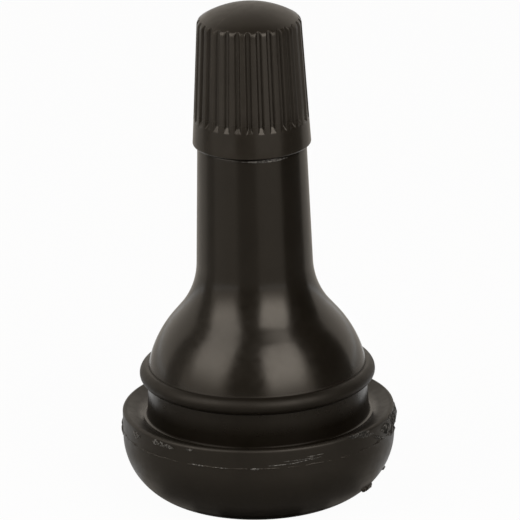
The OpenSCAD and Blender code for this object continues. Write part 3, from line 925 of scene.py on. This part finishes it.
CENTRE = Vector((0, 0, 0.021))
WARM = (1.0, 0.92, 0.82)
LAMP_WHITE = (1.0, 0.945, 0.885)
FLOOR_HALF = 2.0
FLOOR_Z = -0.00001
PAPER = 0.85
FLOOR_GLOW = 0.965
LAMP_DISTANCE = 0.45
# How far up the sky the walls end and the ceiling starts, as the height of a direction of length 1
WALL_END = 0.55
CEILING_START = 0.95

# Upright cards stand round the object, between two azimuths and two heights
CARD_DISTANCE = 0.06
CARD_POINTS = 49
LOW_CARD = (0.0, 0.02)
HIGH_CARD = (0.02, 0.16)
WHOLE_CARD = (0.0, 0.16)
MIDDLE = (-31, 7)
RIGHT = (58, 112)
LEFT = (-106, -83)

# Floor cards lie in rings round the object, layer on layer. Their greys stand in for the floor as reflections
# see it, with painted shade darkest at the foot, where the object's shadow falls
CARDS_Z = -0.000006
CARD_LAYER = 0.000001
FOOT_RING = (0.001, 0.0105)
NEAR_RING = (0.0105, 0.017)
FLOOR_RING = (0.017, 0.032)
MID_RING = (0.032, 0.04)
OUT_RING = (0.04, 0.055)
FAR_RING = (0.055, 0.25)

# The photograph's camera: a long lens about 20 degrees above the floor, rolled a little
LENS = 551.0
SENSOR = 36.0
CAMERA_PLACE = (0, -0.660, 0.2452)
CAMERA_AIM = Vector((0.00046, 0, 0.0215))
CAMERA_ROLL = -1.363


def warm(grey):
    """A grey in the warm tint of walls and cards."""
    return [grey * c for c in WARM]


def white_floor():
    """Pale paper, which shows nearly white, with a faint shadow, to the camera and in reflections."""
    mesh = bpy.data.meshes.new("floor")
    corners = ((-1, -1), (1, -1), (1, 1), (-1, 1))
    mesh.from_pydata([(x * FLOOR_HALF, y * FLOOR_HALF, FLOOR_Z) for x, y in corners], [], [(0, 1, 2, 3)])
    material = bpy.data.materials.new("floor_white")
    material.use_nodes = True
    material.node_tree.nodes.clear()
    nodes = Nodes(material.node_tree)
    paper = nodes.add("ShaderNodeBsdfDiffuse")
    paper.inputs["Color"].default_value = (PAPER, PAPER, PAPER, 1)
    glow = nodes.add("ShaderNodeEmission")
    share = nodes.add("ShaderNodeMath", operation="MULTIPLY")
    share.inputs[1].default_value = FLOOR_GLOW
    nodes.wire(nodes.seen_rays(), share.inputs[0])
    mix = nodes.add("ShaderNodeMixShader")
    for node, target in zip((share, paper, glow), mix.inputs):
        nodes.wire(node.outputs[0], target)
    out = nodes.add("ShaderNodeOutputMaterial")
    nodes.wire(mix.outputs[0], out.inputs["Surface"])
    mesh.materials.append(material)
    floor = bpy.data.objects.new("floor", mesh)
    bpy.context.scene.collection.objects.link(floor)


def studio_world(fill, wall, ceiling):
    """Warm white walls and a dim ceiling; dull surfaces get only fill times their light."""
    world = bpy.data.worlds.new("studio")
    bpy.context.scene.world = world
    world.use_nodes = True
    nodes = Nodes(world.node_tree)
    back = nodes.tree.nodes["Background"]
    up = nodes.coordinate(nodes.add("ShaderNodeTexCoord").outputs["Generated"], "Z")
    nodes.wire(nodes.ramp(up, (WALL_END, warm(wall)), (CEILING_START, warm(ceiling))), back.inputs["Color"])
    nodes.wire(nodes.span(nodes.seen_rays(), fill, 1.0, 0.0, 1.0), back.inputs["Strength"])


def toward(azimuth, elevation, distance):
    """A place round the object."""
    a, e = math.radians(azimuth), math.radians(elevation)
    return CENTRE + distance * Vector((math.sin(a) * math.cos(e), -math.cos(a) * math.cos(e), math.sin(e)))


def soften(lamp, side=0.15, low=0.45, high=0.15):
    """Let a lamp's light fade out towards its edges, over those shares of its width and height."""
    lamp.use_nodes = True
    nodes = Nodes(lamp.node_tree)
    spot = nodes.add("ShaderNodeNewGeometry").outputs["Parametric"]
    level = 1.0
    for axis, start, end in (("X", 0, side), ("X", 1, 1 - side), ("Y", 0, low), ("Y", 1, 1 - high)):
        level = nodes.span(nodes.coordinate(spot, axis), 0.0, level, start, end, curve="SMOOTHSTEP")
    nodes.wire(level, nodes.tree.nodes["Emission"].inputs["Strength"])


def softbox(name, azimuth, elevation, width, height, radiance):
    """A large lamp with soft edges that faces the object."""
    lamp = bpy.data.lights.new(name, "AREA")
    lamp.shape = "RECTANGLE"
    lamp.size, lamp.size_y = width, height
    lamp.energy = radiance * math.pi * width * height
    lamp.color = LAMP_WHITE
    soften(lamp)
    obj = bpy.data.objects.new(name, lamp)
    obj.location = toward(azimuth, elevation, LAMP_DISTANCE)
    obj.rotation_euler = (obj.location - CENTRE).to_track_quat("Z", "Y").to_euler()
    obj.visible_camera = False
    bpy.context.scene.collection.objects.link(obj)


def card(name, first, second, grey):
    """A grey card between two rows of points, which shows only in reflections."""
    n = len(first)
    mesh = bpy.data.meshes.new(name)
    mesh.from_pydata([*first, *second], [], [(i, i + 1, n + i + 1, n + i) for i in range(n - 1)])
    material = bpy.data.materials.new(name)
    material.use_nodes = True
    shader = material.node_tree.nodes["Principled BSDF"]
    shader.inputs["Base Color"].default_value = (0, 0, 0, 1)
    shader.inputs["Specular IOR Level"].default_value = 0
    shader.inputs["Emission Color"].default_value = (*warm(grey), 1)
    shader.inputs["Emission Strength"].default_value = 1
    mesh.materials.append(material)
    obj = bpy.data.objects.new(name, mesh)
    bpy.context.scene.collection.objects.link(obj)
    obj.visible_camera = obj.visible_diffuse = obj.visible_shadow = False


def card_row(azimuths, radius, z):
    """A row of points round the object at one height, between two azimuths."""
    turns = np.radians(np.linspace(*azimuths, CARD_POINTS))
    return [(radius * math.sin(a), -radius * math.cos(a), z) for a in turns]


def standing_card(name, azimuths, heights, grey):
    low, high = (card_row(azimuths, CARD_DISTANCE, z) for z in heights)
    card(name, low, high, grey)


def floor_card(name, ring, grey, reach=118, layer=1):
    """A ring of card on the floor, open behind the object beyond that many degrees from the camera's side.

    A card on a higher layer covers one on a lower layer.
    """
    inner, outer = (card_row((-reach, reach), radius, CARDS_Z + layer * CARD_LAYER) for radius in ring)
    card(name, inner, outer, grey)


def photo_camera():
    camera = bpy.data.cameras.new("camera")
    camera.lens, camera.sensor_width = LENS, SENSOR
    obj = bpy.data.objects.new("camera", camera)
    bpy.context.scene.collection.objects.link(obj)
    obj.location = CAMERA_PLACE
    obj.rotation_mode = "QUATERNION"
    level = (CAMERA_AIM - obj.location).to_track_quat("-Z", "Y")
    obj.rotation_quaternion = level @ Matrix.Rotation(math.radians(CAMERA_ROLL), 4, "Z").to_quaternion()
    bpy.context.scene.camera = obj


white_floor()
studio_world(fill=0.2, wall=0.8, ceiling=0.1)
softbox("softbox_left", azimuth=-58, elevation=36, width=0.37, height=0.56, radiance=2.35)
softbox("softbox_right", azimuth=33, elevation=31, width=0.4, height=0.51, radiance=3.05)
standing_card("card_middle", MIDDLE, LOW_CARD, grey=0.3)
standing_card("card_middle_high", MIDDLE, HIGH_CARD, grey=0.16)
standing_card("card_right", RIGHT, LOW_CARD, grey=0.1)
standing_card("card_right_high", RIGHT, HIGH_CARD, grey=0.06)
standing_card("card_left", LEFT, WHOLE_CARD, grey=0.28)
# Painted shadow of the object on the floor, seen only in reflections, darkest at the foot
floor_card("card_foot", FOOT_RING, grey=0.03, reach=24, layer=3)
floor_card("card_foot_edge", FOOT_RING, grey=0.13, reach=42, layer=2)
floor_card("card_foot_side", FOOT_RING, grey=0.36, reach=180)
floor_card("card_near", NEAR_RING, grey=0.18, reach=66, layer=2)
floor_card("card_near_side", NEAR_RING, grey=0.5, reach=90)
floor_card("card_floor", FLOOR_RING, grey=0.29, reach=84, layer=2)
floor_card("card_floor_side", FLOOR_RING, grey=0.55, reach=108)
floor_card("card_mid", MID_RING, grey=0.08)
floor_card("card_out", OUT_RING, grey=0.28)
floor_card("card_far", FAR_RING, grey=0.52, reach=180)
photo_camera()
bpy.context.scene.view_settings.view_transform = "Standard"
